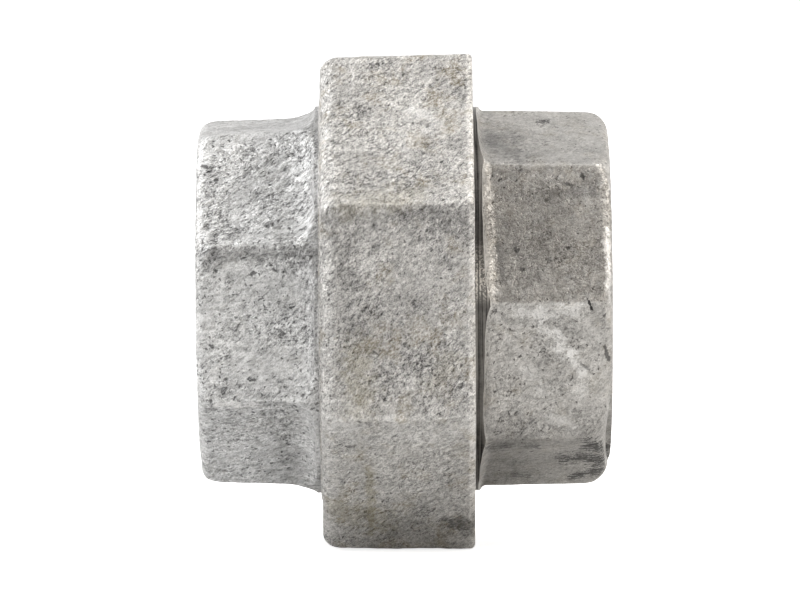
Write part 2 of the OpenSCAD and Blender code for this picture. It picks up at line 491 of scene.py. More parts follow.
class Surface(Graph):
    """A material with one Principled shader, and its coordinates in mm."""

    def __init__(self, name):
        self.material = bpy.data.materials.new(name)
        self.material.use_nodes = True
        super().__init__(self.material.node_tree)
        self.tree.nodes.clear()
        output = self.node("OutputMaterial")
        self.shader = self.node("BsdfPrincipled")
        self.link(self.shader.outputs[0], output.inputs[0])
        self.coordinates = self.node("TexCoord").outputs
        self.mm = self.node("VectorMath", {0: self.coordinates["Object"], "Scale": MM},
                            operation="SCALE").outputs[0]

    @cached_property
    def axes(self):
        return self.split(self.mm)

    def finish(self, **values):
        """Feeds the shader's inputs, with underscores for spaces, and returns the material."""
        for name, value in values.items():
            self.link(value, self.shader.inputs[name.replace("_", " ")])
        return self.material

    def vector(self, x, y, z):
        return self.node("CombineXYZ", {0: x, 1: y, 2: z}).outputs[0]

    def dimmed(self, colour, level):
        return self.mix(1.0, colour, self.vector(level, level, level), "MULTIPLY")

    def noise(self, scale, detail, rough, at=None, distort=0.0):
        node = self.node("TexNoise", {"Vector": at or self.mm, "Scale": scale, "Detail": detail,
                                      "Roughness": rough, "Distortion": distort})
        return Signal(self, node.outputs[0])

    def cells(self, scale, at, **settings):
        return self.node("TexVoronoi", {"Vector": at, "Scale": scale}, **settings).outputs

    def shift(self, vector, amount):
        """Moves coordinates on a slant, so that noises made there differ."""
        offset = (amount * 13.7, amount * 7.1, amount * 3.3)
        return self.node("VectorMath", {0: vector, 1: offset}, operation="ADD").outputs[0]

    def radius(self):
        _, y, z = self.axes
        return self.math("SQRT", y * y + z * z)

    def twist(self, slope, stretch):
        """Coordinates for a grain that lies on a slant round the axis."""
        x, y, z = self.axes
        radius = self.radius()
        angle = self.math("ARCTAN2", z, y) + x * (slope / 36.0)
        return self.vector(x * stretch, radius * self.math("COSINE", angle),
                           radius * self.math("SINE", angle))

    def unrolled(self, radius):
        """Coordinates on the unrolled surface, sides and end faces alike, with the join
        facing +Y."""
        x, y, z = self.axes
        angle = self.math("ARCTAN2", z, y * -1.0)
        inward = self.math("SUBTRACT", radius, self.radius())
        side = self.math("MAXIMUM", self.math("MINIMUM", x * 0.1, 1.0), -1.0)
        return self.vector(side.scaled(inward, x), angle * radius, 0.0)

    def attribute(self, name):
        return Signal(self, self.node("Attribute", attribute_name=name).outputs["Fac"])

    def bump(self, height, distance, strength=1.0, normal=None):
        inputs = {"Strength": strength, "Distance": distance, "Height": height}
        if normal is not None:
            inputs["Normal"] = normal
        return self.node("Bump", inputs).outputs[0]


def grey(value, warm):
    return (value * (1 + warm), value, value * (1 - 1.4 * warm), 1.0)


# ---------------------------------------------------------------- materials
FALLING = (1.0, 0.0)
TEAR_SHADE, PALE_SHADE = 0.06, 0.9     # greys up to the first are tears, from the second pale
LONG_TEAR = 1.5                        # mm along X from which a tear has drawn-out edges


class Zinc(Surface):
    """Hot-dip zinc on a sand casting. Its noises are shared by colour, roughness and bump."""

    def __init__(self, name, seed, slope, stretch):
        super().__init__(name)
        self.seed = seed
        self.plain = self.shift(self.mm, seed)
        self.slanted = self.shift(self.twist(slope, stretch), seed + 0.5)
        # grain in three sizes
        self.large = self.noise(1.1, detail=1.0, rough=0.5, at=self.slanted)
        self.medium = self.noise(2.5, detail=1.5, rough=0.6, at=self.slanted)
        self.small = self.noise(4.6, detail=1.0, rough=0.6, at=self.plain)
        self.wavy = self.noise(1.6, detail=2.0, rough=0.62, at=self.shift(self.slanted, 5.0),
                               distort=0.5)
        self.cluster = self.noise(0.30, detail=2.0, rough=0.6, at=self.plain)
        # crevices between the grains, dark on one side only
        self.crease = self.wavy.remap((0.32, 0.44), FALLING)
        self.strength = self.attribute("coarse").scaled(0.68, 0.34)
        self.edge = self.attribute("edge")

    def drawn_noise(self, stretch, shift, scale, detail, rough, distort=0.0):
        """Noise drawn out along the axis."""
        x, y, z = self.axes
        place = self.shift(self.vector(x * stretch, y, z), self.seed + shift)
        return self.noise(scale, detail, rough, place, distort)

    def holes(self, pits):
        """Irregular clusters of dark pits, where two noises agree."""
        fine = self.noise(1.25, detail=2.0, rough=0.7, at=self.shift(self.slanted, 3.0))
        field = fine + self.cluster.remap((0.35, 0.7), (-0.10, 0.10))
        return field.remap((0.69 - pits, 0.76 - pits))

    def pinholes(self, around, pins):
        """Small round holes, in groups, on the surface unrolled at radius around."""
        place = self.shift(self.unrolled(around), self.seed)
        waver = [self.noise(1.7, detail=1.0, rough=0.5, at=at)
                 for at in (self.plain, self.shift(self.plain, 9.0))]
        place = self.node("VectorMath", {0: place, 1: self.vector(*waver, 0.0)},
                          operation="ADD").outputs[0]
        crowd = self.noise(0.13, detail=2.0, rough=0.55, at=self.plain)
        layers = []
        # scale of the cells, share of them with a hole, smallest and largest hole
        for k, (scale, share, least, most) in enumerate(((1.05, pins, 0.10, 0.22),
                                                         (0.62, pins * 0.55, 0.07, 0.20))):
            cell = self.cells(scale, self.shift(place, k * 4.0), voronoi_dimensions="2D",
                              feature="F1")
            pick = self.node("SeparateColor", {0: cell["Color"]}).outputs
            size = self.math("MULTIPLY_ADD", pick[1], most - least, least)
            spot = (size - cell["Distance"]).remap((-0.05, 0.06))
            chance = crowd.remap((0.35, 0.65), (share * 0.15, share * 1.8))
            layers.append(spot * self.math("LESS_THAN", pick[0], chance))
        return self.math("MAXIMUM", *layers)

    def brightness(self, grain, mottle, streak, hole, pin):
        """Factor on the base grey, from grain, clouds, streaks, relief, painted edge light and
        holes.
        """
        level = (self.large.remap((0.25, 0.75), (-grain * 0.9, grain * 0.9))
                 + self.medium.remap((0.28, 0.72), (-grain * 1.2, grain * 1.0))
                 + self.small.remap((0.3, 0.7), (-grain * 1.1, grain * 1.0))
                 - self.crease * (grain * 1.3)) * self.strength
        # cloudy mottling: noise scale, detail, roughness, distortion, shift and range
        for scale, detail, rough, distort, shift, source in (
                (0.16, 3.0, 0.55, 0.6, 0.0, (0.3, 0.7)),
                (0.055, 2.0, 0.5, 0.8, 0.0, (0.35, 0.65)),
                (0.42, 3.0, 0.6, 0.5, 2.0, (0.3, 0.7))):
            place = self.shift(self.plain, shift) if shift else self.plain
            cloud = self.noise(scale, detail, rough, place, distort)
            level = level + cloud.remap(source, (-mottle, mottle))
        if streak:
            lines = self.drawn_noise(stretch=0.26, shift=2.0, scale=1.15, detail=2.5,
                                     rough=0.62, distort=0.35)
            level = level + lines.remap((0.28, 0.66), (-1.6, 1.0)) * streak
        level = level + self.attribute("relief").remap((-0.18, 0.14), (-0.30, 0.16))
        # painted highlights along corners, rims and lips (on the corners partly wear), and
        # painted shade where edge is negative
        level = level + self.edge * 0.16
        level = self.math("MAXIMUM", level + (1.0 + grain * 0.25), 0.10)
        for dark, amount in ((self.attribute("pit"), -0.30), (hole, -0.50), (pin, -0.68)):
            level = level * dark.scaled(amount, 1.0)
        return level

    def stained(self, colour, stain):
        """Faint brown stain, weaker on the bright grains."""
        brown = self.noise(0.22, detail=4.0, rough=0.62, at=self.plain, distort=0.4)
        amount = brown.remap((0.50, 0.70)) * self.medium.remap((0.40, 0.60), (1.0, 0.25))
        return self.mix(amount * stain, colour, (0.34, 0.28, 0.17, 1.0))

    @cached_property
    def ragged(self):
        """Unevenness of a smear's edge."""
        wide = self.noise(0.55, detail=3.0, rough=0.65, at=self.plain)
        return self.wavy.remap((0.3, 0.7), (-0.5, 0.5)) + wide.remap((0.3, 0.7), (-0.8, 0.8))

    @cached_property
    def drawn(self):
        """Unevenness of a long tear's edge."""
        lines = self.drawn_noise(stretch=0.20, shift=6.0, scale=2.0, detail=3.0, rough=0.7)
        return lines.remap((0.3, 0.7), (-1.2, 1.2)) + self.medium.remap((0.3, 0.7), (-0.5, 0.5))

    @cached_property
    def front(self):
        """1 on the -Y side, fading out towards the end faces and before the far side."""
        facing = self.math("ABSOLUTE", self.split(self.coordinates["Normal"])[0])
        return (self.axes[1].remap((-4.0, -1.0), FALLING)
                * facing.remap((0.74, 0.95), FALLING))

    def smeared(self, colour, level, smear):
        """Adds one ragged mark from a smear table to the colour; some marks are painted shade or
        painted highlights.
        """
        x0, z0, x1, z1, width, shade, amount, *cuts = smear
        x, y, z = self.axes
        run, rise = x1 - x0, z1 - z0
        length2 = run * run + rise * rise
        along = x.scaled(run / length2, -(x0 * run + z0 * rise) / length2)
        along = self.math("MULTIPLY_ADD", z, rise / length2, along, clamp=True)
        off_x = x - along.scaled(run, x0)
        off_z = z - along.scaled(rise, z0)
        distance = self.math("SQRT", off_x * off_x + off_z * off_z)
        is_grey = isinstance(shade, float)
        # width of the raggedness, where the edge starts and ends, and how far grain shows
        if is_grey and shade <= TEAR_SHADE:
            uneven = self.drawn if run > LONG_TEAR else self.ragged
            spread, begin, end, textured = 0.9, 0.35, 1.15, 0.8
        elif is_grey and shade >= PALE_SHADE:
            uneven, spread, begin, end, textured = self.ragged, 0.85, 0.15, 1.2, 0.3
        else:
            uneven, spread, begin, end, textured = self.ragged, 0.75, 0.0, 1.5, 0.55
        distance = distance + uneven * (width * spread)
        mask = distance.remap((width * begin, width * end), FALLING) * self.front
        for side, angle in zip((1.0, -1.0), cuts):
            if angle is not None:
                turn = math.radians(angle)
                beyond = z.scaled(side * math.cos(turn), y * (side * math.sin(turn)))
                mask = mask * beyond.remap((-0.25, 0.15), FALLING)
        tint = grey(shade, 0.008) if is_grey else shade + (1.0,)
        lit = self.mix(textured, tint, self.dimmed(tint, level))
        return self.mix(mask * amount, colour, lit)

    def roughness(self, rough, hole):
        value = self.cluster.remap((0.3, 0.7), (rough - 0.05, rough + 0.06)) + hole * 0.2
        value = value + self.large.remap((0.3, 0.7), (0.05, -0.05))
        # duller where the zinc has pooled against a shoulder
        return value + self.math("MAXIMUM", self.edge * -1.0, 0.0) * 0.20

    def height(self, hole, pin):
        lump = self.cells(0.8, self.slanted, feature="SMOOTH_F1")["Distance"]
        grains = self.large * 1.0 + self.medium * 0.60 + self.small * 0.37
        grains = grains + Signal(self, lump) * -0.40 - self.crease * 0.45
        return grains * self.strength - hole * 0.8 - pin * 1.2


def zinc(name, *, tone, warm, grain, mottle, pits, pins, around, stain, rough, depth, seed,
         slope, stretch, marks_and_painted_light, metal=0.7, streak=0.0):
    """tone and warm set the grey; grain, mottle, streak and stain are strengths; pits and pins
    are shares of holes; slope and stretch lay the grain; depth is the bump's, in mm."""
    surface = Zinc(name, seed, slope, stretch)
    hole, pin = surface.holes(pits), surface.pinholes(around, pins)
    level = surface.brightness(grain, mottle, streak, hole, pin)
    colour = surface.stained(surface.dimmed(grey(tone, warm), level), stain)
    for smear in marks_and_painted_light:
        colour = surface.smeared(colour, level, smear)
    return surface.finish(
        Base_Color=colour, Metallic=metal, Roughness=surface.roughness(rough, hole),
        Normal=surface.bump(surface.height(hole, pin), depth / MM * 2.0))


def turned(name, *, tone, lines, rough, warm, seed, contrast=0.28, cut=1.0, painted_glint=None):
    """Machined iron: turning lines round the axis, and small scratches. cut deepens them.
    rubbed is the (low, high) z of a painted highlight on the side facing -Y: a cream patch that
    stands in for a reflection."""
    surface = Surface(name)
    x, y, z = surface.axes
    across = surface.vector(x + seed * 5.0, y.scaled(0.012, surface.radius()), z * 0.012)
    coarse = surface.noise(lines, detail=2.0, rough=0.7, at=across)
    fine = surface.noise(lines * 3.1, detail=1.0, rough=0.6, at=across)
    blot = surface.noise(0.35, detail=3.0, rough=0.6)
    spot = surface.noise(2.6, detail=2.0, rough=0.6)
    level = (coarse.remap((0.3, 0.7), (1 - contrast, 1 + contrast))
             + fine.remap((0.3, 0.7), (-0.5 * contrast, 0.5 * contrast))
             + blot.remap((0.35, 0.65), (-0.14, 0.12))
             + spot.remap((0.4, 0.75), (0.05, -0.16)))
    colour = surface.dimmed(grey(tone, warm), level)
    # A painted highlight: a cream patch on the band's front where a lamp's reflection would fall.
    if painted_glint:
        low, high = painted_glint
        mask = z.remap((low - 2.0, low + 2.0)) * z.remap((high - 3.5, high + 3.5), FALLING)
        mask = mask * surface.math("LESS_THAN", y, 0.0)
        patchy = coarse + spot.remap((0.3, 0.7), (-0.12, 0.12))
        mask = mask * patchy.remap((0.42, 0.56), (0.12, 0.95))
        colour = surface.mix(mask, colour, (0.88, 0.83, 0.76, 1.0))
    grooves = surface.bump(coarse, 0.03 / MM * cut, strength=0.9)
    return surface.finish(
        Base_Color=colour, Metallic=0.9,
        Roughness=blot.remap((0.3, 0.7), (rough - 0.05, rough + 0.08)),
        Normal=surface.bump(fine, 0.012 / MM * cut, strength=0.8, normal=grooves))


def fibre(name):
    """Pressed dark green fibre with pale strands."""
    surface = Surface(name)
    fleck = surface.noise(1.6, detail=4.0, rough=0.7)
    strand = surface.noise(0.9, detail=3.0, rough=0.6, distort=1.5)
    colour = surface.mix(fleck.remap((0.35, 0.7)), (0.045, 0.075, 0.062, 1),
                         (0.10, 0.15, 0.125, 1))
    colour = surface.mix(strand.remap((0.58, 0.72), (0.0, 0.5)), colour, (0.22, 0.25, 0.21, 1))
    return surface.finish(Base_Color=colour, Roughness=strand.remap((0.3, 0.7), (0.62, 0.85)),
                          Normal=surface.bump(fleck, 0.05 / MM))


# Smears on the side facing -Y, stains and marks but also painted shade and painted highlights: x
# and z of one end, x and z of the other, width, shade (a grey or a colour) and strength. Two more
# values may give the angles above -Y, in degrees, of the
# corners that cut the smear off at its top and bottom, or None.
OLIVE = (0.30, 0.265, 0.16)
BROWN = (0.20, 0.17, 0.13)
NUT_MARKS_AND_PAINTED_LIGHT = (
    # The first three darken the front flat as a whole and the strip under its upper corner:
    # painted shade.
    (-13.0, 0.0, 11.5, 0.0, 19.0, 0.26, 0.21, 22.5, -24.2),
    (-14.0, 16.6, 11.4, 17.2, 3.0, 0.12, 0.42, 22.3, None),
    (-14.0, 13.0, 11.4, 13.0, 4.5, 0.16, 0.10, 22.4, None),
    (9.0, -41.5, 12.6, -42.0, 1.9, 0.07, 0.72), (-6.8, -31.5, -6.6, -43.0, 1.0, OLIVE, 0.45),
    (-13.5, -38.0, -4.0, -41.0, 2.4, OLIVE, 0.34), (-9.0, -8.0, -8.0, -18.0, 3.0, OLIVE, 0.34),
    (-12.8, -21.8, -9.0, -22.4, 1.8, 0.95, 0.35), (1.0, 36.0, 5.0, 35.2, 1.3, 0.95, 0.40),
    (0.0, 29.5, 6.5, 34.0, 1.2, 0.95, 0.22), (-11.0, 18.5, 2.0, 21.0, 2.4, OLIVE, 0.24),
    (0.5, -34.0, 9.0, -35.0, 3.0, 0.75, 0.22), (-12.0, 12.0, -9.0, -4.0, 2.2, 0.14, 0.22),
    (5.0, -14.0, 8.5, -10.0, 2.0, OLIVE, 0.22), (-4.6, -16.4, -4.0, -16.9, 0.45, 0.05, 0.75),
    (-5.6, -8.2, -5.0, -8.6, 0.35, 0.05, 0.7), (1.6, 0.6, 2.2, 0.2, 0.35, 0.05, 0.6),
    (-13.6, -17.0, -2.0, -20.4, 0.9, 0.92, 0.25),
    (-13.5, -23.4, 11.5, -23.6, 2.6, 0.76, 0.36, -23.6, None))
TAIL_MARKS_AND_PAINTED_LIGHT = (
    # The first darkens the strip under the upper corner: painted shade.
    (-37.0, 9.6, -17.5, 9.6, 1.9, 0.12, 0.48, 18.2, None),
    (-35.0, -18.4, -31.0, -18.3, 0.8, 1.0, 0.85), (-31.0, -18.4, -27.0, -18.8, 0.7, 1.0, 0.55),
    (-25.0, -22.0, -20.0, -33.0, 3.0, 0.25, 0.30), (-29.0, 22.0, -22.0, 15.0, 2.6, 0.25, 0.24),
    (-24.0, 13.0, -20.5, 10.8, 1.6, 0.16, 0.30), (-36.6, 22.8, -35.4, 23.5, 0.5, 0.05, 0.85),
    # The first on this line lightens the rim of the mouth: a painted highlight.
    (-38.2, 29.5, -38.2, 11.5, 0.8, 0.98, 0.55), (-37.8, 26.0, -36.8, 25.8, 0.35, 0.05, 0.75),
    (-22.2, 25.4, -21.6, 25.7, 0.45, 0.05, 0.7), (-22.7, 3.6, -22.1, 3.8, 0.42, 0.05, 0.8),
    (-28.0, 6.3, -27.6, 6.2, 0.32, 0.05, 0.8), (-28.6, -13.8, -28.1, -14.0, 0.4, 0.05, 0.8),
    (-36.3, -7.3, -35.9, -7.5, 0.32, 0.05, 0.75))
THREADED_MARKS_AND_PAINTED_LIGHT = (
    # The first darkens the second flat between its corners: painted shade.
    (18.0, 12.0, 37.0, 12.0, 26.0, BROWN, 0.31, 46.4, 0.8),
    # The second on this line lightens the rim of the mouth: a painted highlight.
    (15.6, -3.0, 15.6, -23.0, 1.6, 0.16, 0.16), (37.9, 13.5, 38.5, 0.8, 0.8, 0.98, 0.75),
    (26.8, -5.2, 30.6, -9.4, 1.5, 0.98, 0.70), (30.2, -9.4, 33.2, -12.6, 1.2, 0.98, 0.60),
    (33.0, -11.2, 34.4, -12.4, 0.35, 0.05, 0.60), (31.2, -14.8, 33.2, -16.4, 1.2, 0.95, 0.35),
    (20.2, -0.9, 25.0, -1.8, 1.3, 0.96, 0.50, 0.6, None),
    (25.0, -1.6, 31.5, -0.9, 1.7, 0.96, 0.58, 0.6, None),
    (23.0, -13.0, 26.0, -16.5, 1.6, 0.92, 0.24), (27.0, -21.5, 31.0, -22.8, 1.2, 0.95, 0.32),
    (34.0, 1.2, 34.9, -1.0, 0.26, 0.03, 0.95), (29.5, -30.0, 38.2, -30.2, 0.9, 0.04, 0.92),
    (34.4, -27.2, 38.6, -28.0, 1.3, 0.04, 0.92), (32.0, -34.2, 37.6, -32.6, 0.9, 0.04, 0.88),
    (36.6, -31.0, 38.2, -31.6, 1.2, 0.05, 0.80), (15.6, -27.4, 19.0, -27.2, 0.6, 0.05, 0.60),
    (22.5, -27.2, 25.0, -27.3, 0.45, 0.05, 0.60), (20.5, -33.4, 23.5, -33.8, 0.45, 0.05, 0.55),
    (33.3, 23.9, 33.8, 23.6, 0.45, 0.05, 0.80), (30.9, 22.2, 31.4, 21.8, 0.4, 0.05, 0.75),
    (20.7, 10.2, 21.3, 9.9, 0.45, 0.05, 0.80), (22.1, 6.4, 22.8, 6.2, 0.4, 0.05, 0.70),
    (25.6, 33.7, 27.8, 33.9, 0.35, 0.05, 0.80), (37.4, -8.0, 38.0, -10.5, 0.35, 0.05, 0.75),
    (17.6, 11.0, 18.6, 5.0, 1.1, 0.16, 0.50), (20.5, 10.0, 24.5, 5.5, 2.2, 0.22, 0.32),
    (26.0, 20.5, 35.0, 20.8, 1.2, 0.16, 0.42), (16.8, 30.0, 21.5, 28.4, 2.0, 0.14, 0.58),
    # The last darkens the flat below the corner at -45.6 degrees: painted shade.
    (17.0, -22.0, 37.5, -34.0, 12.0, 0.22, 0.14, -45.6, None))

NUT_ZINC = zinc("zinc_nut", tone=0.54, warm=0.020, grain=0.29, mottle=0.07, pits=0.015,
                pins=0.05, around=47.0, stain=0.50, rough=0.48, depth=0.15, seed=1,
                slope=0.40, stretch=0.85, marks_and_painted_light=NUT_MARKS_AND_PAINTED_LIGHT)
TAIL_ZINC = zinc("zinc_tail", tone=0.645, warm=0.0, grain=0.25, mottle=0.06, pits=0.03,
                 pins=0.20, around=35.0, stain=0.08, rough=0.47, depth=0.14, seed=2,
                 slope=0.50, stretch=0.7, marks_and_painted_light=TAIL_MARKS_AND_PAINTED_LIGHT, streak=0.10)
THREADED_ZINC = zinc("zinc_threaded", tone=0.50, warm=0.022, grain=0.20, mottle=0.085,
                     pits=0.02, pins=0.06, around=35.0, stain=0.24, rough=0.45, depth=0.11,
                     seed=3, slope=0.3, stretch=0.95, marks_and_painted_light=THREADED_MARKS_AND_PAINTED_LIGHT, metal=0.72,
                     streak=0.05)
# The band carries a painted highlight from z 1.5 to 10.5 mm.
BAND_IRON = turned("turned_band", tone=0.175, lines=2.2, rough=0.34, warm=0.05, seed=1,
                   contrast=0.65, cut=2.0, painted_glint=(1.5, 10.5))
NECK_IRON = turned("turned_neck", tone=0.20, lines=2.2, rough=0.32, warm=0.04, seed=4,
                   contrast=0.5, cut=1.5)
FACE_IRON = turned("turned_face", tone=0.62, lines=1.6, rough=0.36, warm=0.012, seed=2)
THREAD_IRON = turned("cut_thread", tone=0.42, lines=1.2, rough=0.33, warm=0.02, seed=3)
FIBRE = fibre("pressed_fibre")


# --------------------------------------------------------- casting roughness
def scatter(seed, count, start, end, ring_radius, size, depth):
    """Random dents (x, y, z, radius, depth) on a cylinder."""
    rng = np.random.RandomState(seed)
    spots = []
    for _ in range(count):
        x = rng.uniform(start, end)
        angle = rng.uniform(0, 2 * math.pi)
        radius = rng.uniform(*size)
        spots.append((x, ring_radius * math.cos(angle), ring_radius * math.sin(angle), radius,
                      rng.uniform(*depth) * min(1, radius / size[1] + 0.3)))
    return spots


def dent_depth(points, spots):
    depths = np.zeros(len(points))
    for x, y, z, radius, depth in spots:
        close = np.abs(points[:, 0] - x) < 3 * radius
        here = points[close]
        distance2 = (here[:, 0] - x) ** 2 + (here[:, 1] - y) ** 2 + (here[:, 2] - z) ** 2
        depths[close] = np.maximum(depths[close], depth * np.exp(-distance2 / (radius * radius)))
    return depths


def facet_coarseness(points, corner, facets):
    """Coarseness of the flat that each point lies on, eased over the corners."""
    ring = np.array(facets + facets[:1], float)
    angle = np.arctan2(points[:, 2], points[:, 1])
    place = np.mod((angle - corner - HALF) / SECTOR, 8.0)
    index = np.floor(place).astype(int) % 8
    share = np.clip((place - np.floor(place) - 0.5) * 3.5 + 0.5, 0, 1)
    return ring[index] * (1 - share) + ring[index + 1] * share


def casting_rough(*, seed, low, mid, small, slope, stretch, spots, corner, facets, vary):
    """Roughness function of a casting: low, mid and small are the heights of its waves,
    slope and stretch lay them on a slant, and vary changes the coarseness from place to place.
    The function gives each point's push, pit and coarseness."""
    deepest = max(spot[4] for spot in spots)

    def rough(points):
        slanted = twisted(points, slope, stretch)
        push = low * noise(points / 13.0, seed) + 0.5 * low * noise(points / 6.5, seed + 1)
        medium = noise(slanted / 2.4, seed + 2)
        fine = noise(slanted / 1.2, seed + 3)
        coarse = facet_coarseness(points, corner, facets)
        patches = np.clip(noise(points / 7.0, seed + 4) * 2.0, -1, 1)
        coarse = np.clip(coarse * (0.85 + vary * patches), 0.15, 1.3)
        # rounded high ground with sharper hollows
        push = push + 0.6 * low * noise(slanted / 3.6, seed + 5) * (0.4 + 0.6 * coarse)
        push = push + coarse * (mid * (np.abs(medium) * 1.6 - 0.45) + small * fine)
        dent = dent_depth(points, spots) * np.clip(coarse, 0.4, 1.2)
        return push - dent, np.clip(dent / deepest, 0, 1), coarse
    return rough


# Coarseness of each flat, going round. The first flat is the one just past the corner nearest
# to -Y, or for the nut the one past the corner at 22.5 degrees.
THREADED_FACETS = [0.9, 0.6, 0.9, 0.8, 1.0, 0.7, 0.5, 1.0]
TAIL_FACETS = [0.75, 0.8, 1.0, 0.7, 1.1, 0.8, 0.5, 1.45]
NUT_FACETS = [0.9, 1.1, 1.15, 1.0, 0.75, 0.8, 1.0, 0.9]


# ------------------------------------------------------------ threaded end
def band_edge(cast_radius, start, length, angles):
    """x of the line where the turned band runs out into the casting."""
    near_x, far_x = start.copy(), start + length
    for _ in range(24):
        middle = (near_x + far_x) / 2
        inside = cast_radius(middle) > THREADED_NECK
        near_x, far_x = np.where(inside, middle, near_x), np.where(inside, far_x, middle)
    edge = np.where(cast_radius(start) > THREADED_NECK, near_x, start)
    edge = (np.roll(edge[:-1], 1) + edge[:-1] + np.roll(edge[:-1], -1)) / 3
    circle = np.stack([np.cos(angles) * 9, np.sin(angles) * 9, angles * 0], 1)
    return np.append(edge, edge[0]) + 0.10 * noise(circle, 91)


def add_turned_band(ring, cast_radius, fillet_x, edge_x, plain_x):
    """The grooved band, and the casting's rise out of it as far as plain_x."""
    start = 12.3
    for t in np.linspace(0, 1, 15):
        x = start + (edge_x - start) * t
        groove = (0.018 * np.sin(x * 2 * math.pi / 0.46)
                  + 0.008 * np.sin(x * 2 * math.pi / 1.3 + 1))
        ring.add(x, THREADED_NECK + groove, TURNED if t < 1 else CAST)
    # edge paints a highlight on the lip where the band runs out into the casting.
    for t in np.linspace(0, 1, 13)[1:]:
        x = edge_x + (plain_x - edge_x) * t
        radius = np.minimum(cast_radius(np.maximum(x, fillet_x)), THREADED_NECK - 0.02)
        ring.add(x, radius, weight=np.clip((x - edge_x) / 0.8, 0, 1),
                 edge=2.2 * np.exp(-((x - edge_x) / 0.25) ** 2))


def threaded_outside(angles, corner):
    ring = Ring(angles)
    lean = 0.018 * near(angles, 134.4, 0.26) - 0.018 * near(angles, 224.4, 0.26)
    octagon = Octagon(angles, corner, taper(BODY_START, 33.5, THREADED_MOUTH, 32.85),
                      wobble=lambda x: lean + 0.006 * np.sin(x / 5.5 + 0.4),
                      rounding=1.15, sink=0.20)
    # the mouth is a little rounder low down on the -Y side
    low = near(angles, 237, 0.48)
    mouth = THREADED_MOUTH - 1.05 * low

    def envelope(x):
        return dome(x, mouth, 1, radius=35.95 - 0.25 * low, length=5.2 + 1.8 * low,
                    height=4.3 + 1.0 * low)

    # corner_line lightens the corners: partly worn zinc, partly a painted highlight.
    corner_line = 1.1 * ridge(angles + octagon.wobble(27.0), corner, 35.0, 0.45)
    # the fillet beside the turned band starts further out and is longer towards +Y and -Y
    side = np.cos(angles) ** 2
    fillet_x = NUT_OPEN + 0.7 + 1.1 * side
    fillet_length = 1.6 + 1.6 * side
    fillet_height = 3.4

    def cast_radius(x):
        u = np.clip((fillet_x + fillet_length - x) / fillet_length, 0, 1)
        return (soft_min(octagon.radius(x), envelope(x), 0.5)
                + fillet_height * (1 - np.sqrt(1 - u * u)))

    edge_x = band_edge(cast_radius, fillet_x, fillet_length, angles)
    plain_x = NUT_OPEN + 3.5
    add_turned_band(ring, cast_radius, fillet_x, edge_x, plain_x)
    x = plain_x + 0.3
    while x < THREADED_MOUTH - 2.3:
        pull = ((x - BODY_START) / (THREADED_MOUTH - 17.0)) ** 6
        row_x = x - (THREADED_MOUTH - mouth) * pull
        ring.add(row_x, cast_radius(row_x), weight=1.0,
                 edge=corner_line * min(1.0, (x - plain_x) / 2.0))
        x += 0.37
    add_rim(ring, octagon, mouth, 1, length=2.0, height=1.6, weight=0.55, envelope=envelope,
            slopes=np.linspace(0, math.pi / 2, 11))
    rim_radius = ring.rows[-1][1]
    add_end_face(ring, mouth, rim_radius, THREADED_MOUTH, (0.25, 0.5, 0.75))
    ring.add(THREADED_MOUTH, BORE_LIP, THREAD)
    return ring


def threaded_inside(angles):
    ring = Ring(angles)
    mouth, seat = THREADED_MOUTH, THREADED_SEAT
    pipe = thread_rows(angles, mouth - PIPE_LENGTH, mouth, PIPE_MAJOR, PIPE_MINOR,
                       INNER_CONE, MOUTH_CONE, internal=True)
    ring.trace(THREAD, *reversed(pipe))
    ring.add(mouth - PIPE_LENGTH - 0.6, WATER_R)
    for x in np.arange(mouth - 25.4, seat + 1.0, -1.3):
        ring.add(x, WATER_R, weight=0.5)
    ring.add(seat + 0.5, WATER_R)
    ring.add(seat, WATER_R + 0.5, FACE)
    for radius in np.linspace(WATER_R + 0.9, UNION_MINOR - 0.8, 14):
        ring.add(seat, radius, FACE)
    seat_rim = UNION_MINOR - 0.5
    ring.add(seat, seat_rim, THREAD)
    ring.trace(THREAD, *thread_rows(angles, seat, 10.0, UNION_MINOR - 0.06, UNION_MAJOR - 0.06,
                                    seat_rim, UNION_MINOR - 0.4, internal=False))
    ring.trace(TURNED, (10.3, UNION_MINOR - 0.7), (11.5, THREADED_NECK + 0.35),
               (11.95, THREADED_NECK + 0.05))
    return ring


def make_threaded():
    corner = math.pi - math.radians(0.6)
    angles = ring_angles(corner, 74)
    spots = scatter(31, 260, 15, THREADED_MOUTH - 1, ring_radius=34.2, size=(0.25, 0.5),
                    depth=(0.12, 0.30))
    rough = casting_rough(seed=11, low=0.075, mid=0.05, small=0.028, slope=0.25, stretch=0.8,
                          spots=spots, corner=corner, facets=THREADED_FACETS, vary=0.3)
    build("threaded_end_casting", "threaded_end",
          threaded_outside(angles, corner), threaded_inside(angles[::2]), rough,
          [THREADED_ZINC, BAND_IRON, THREAD_IRON, FACE_IRON])


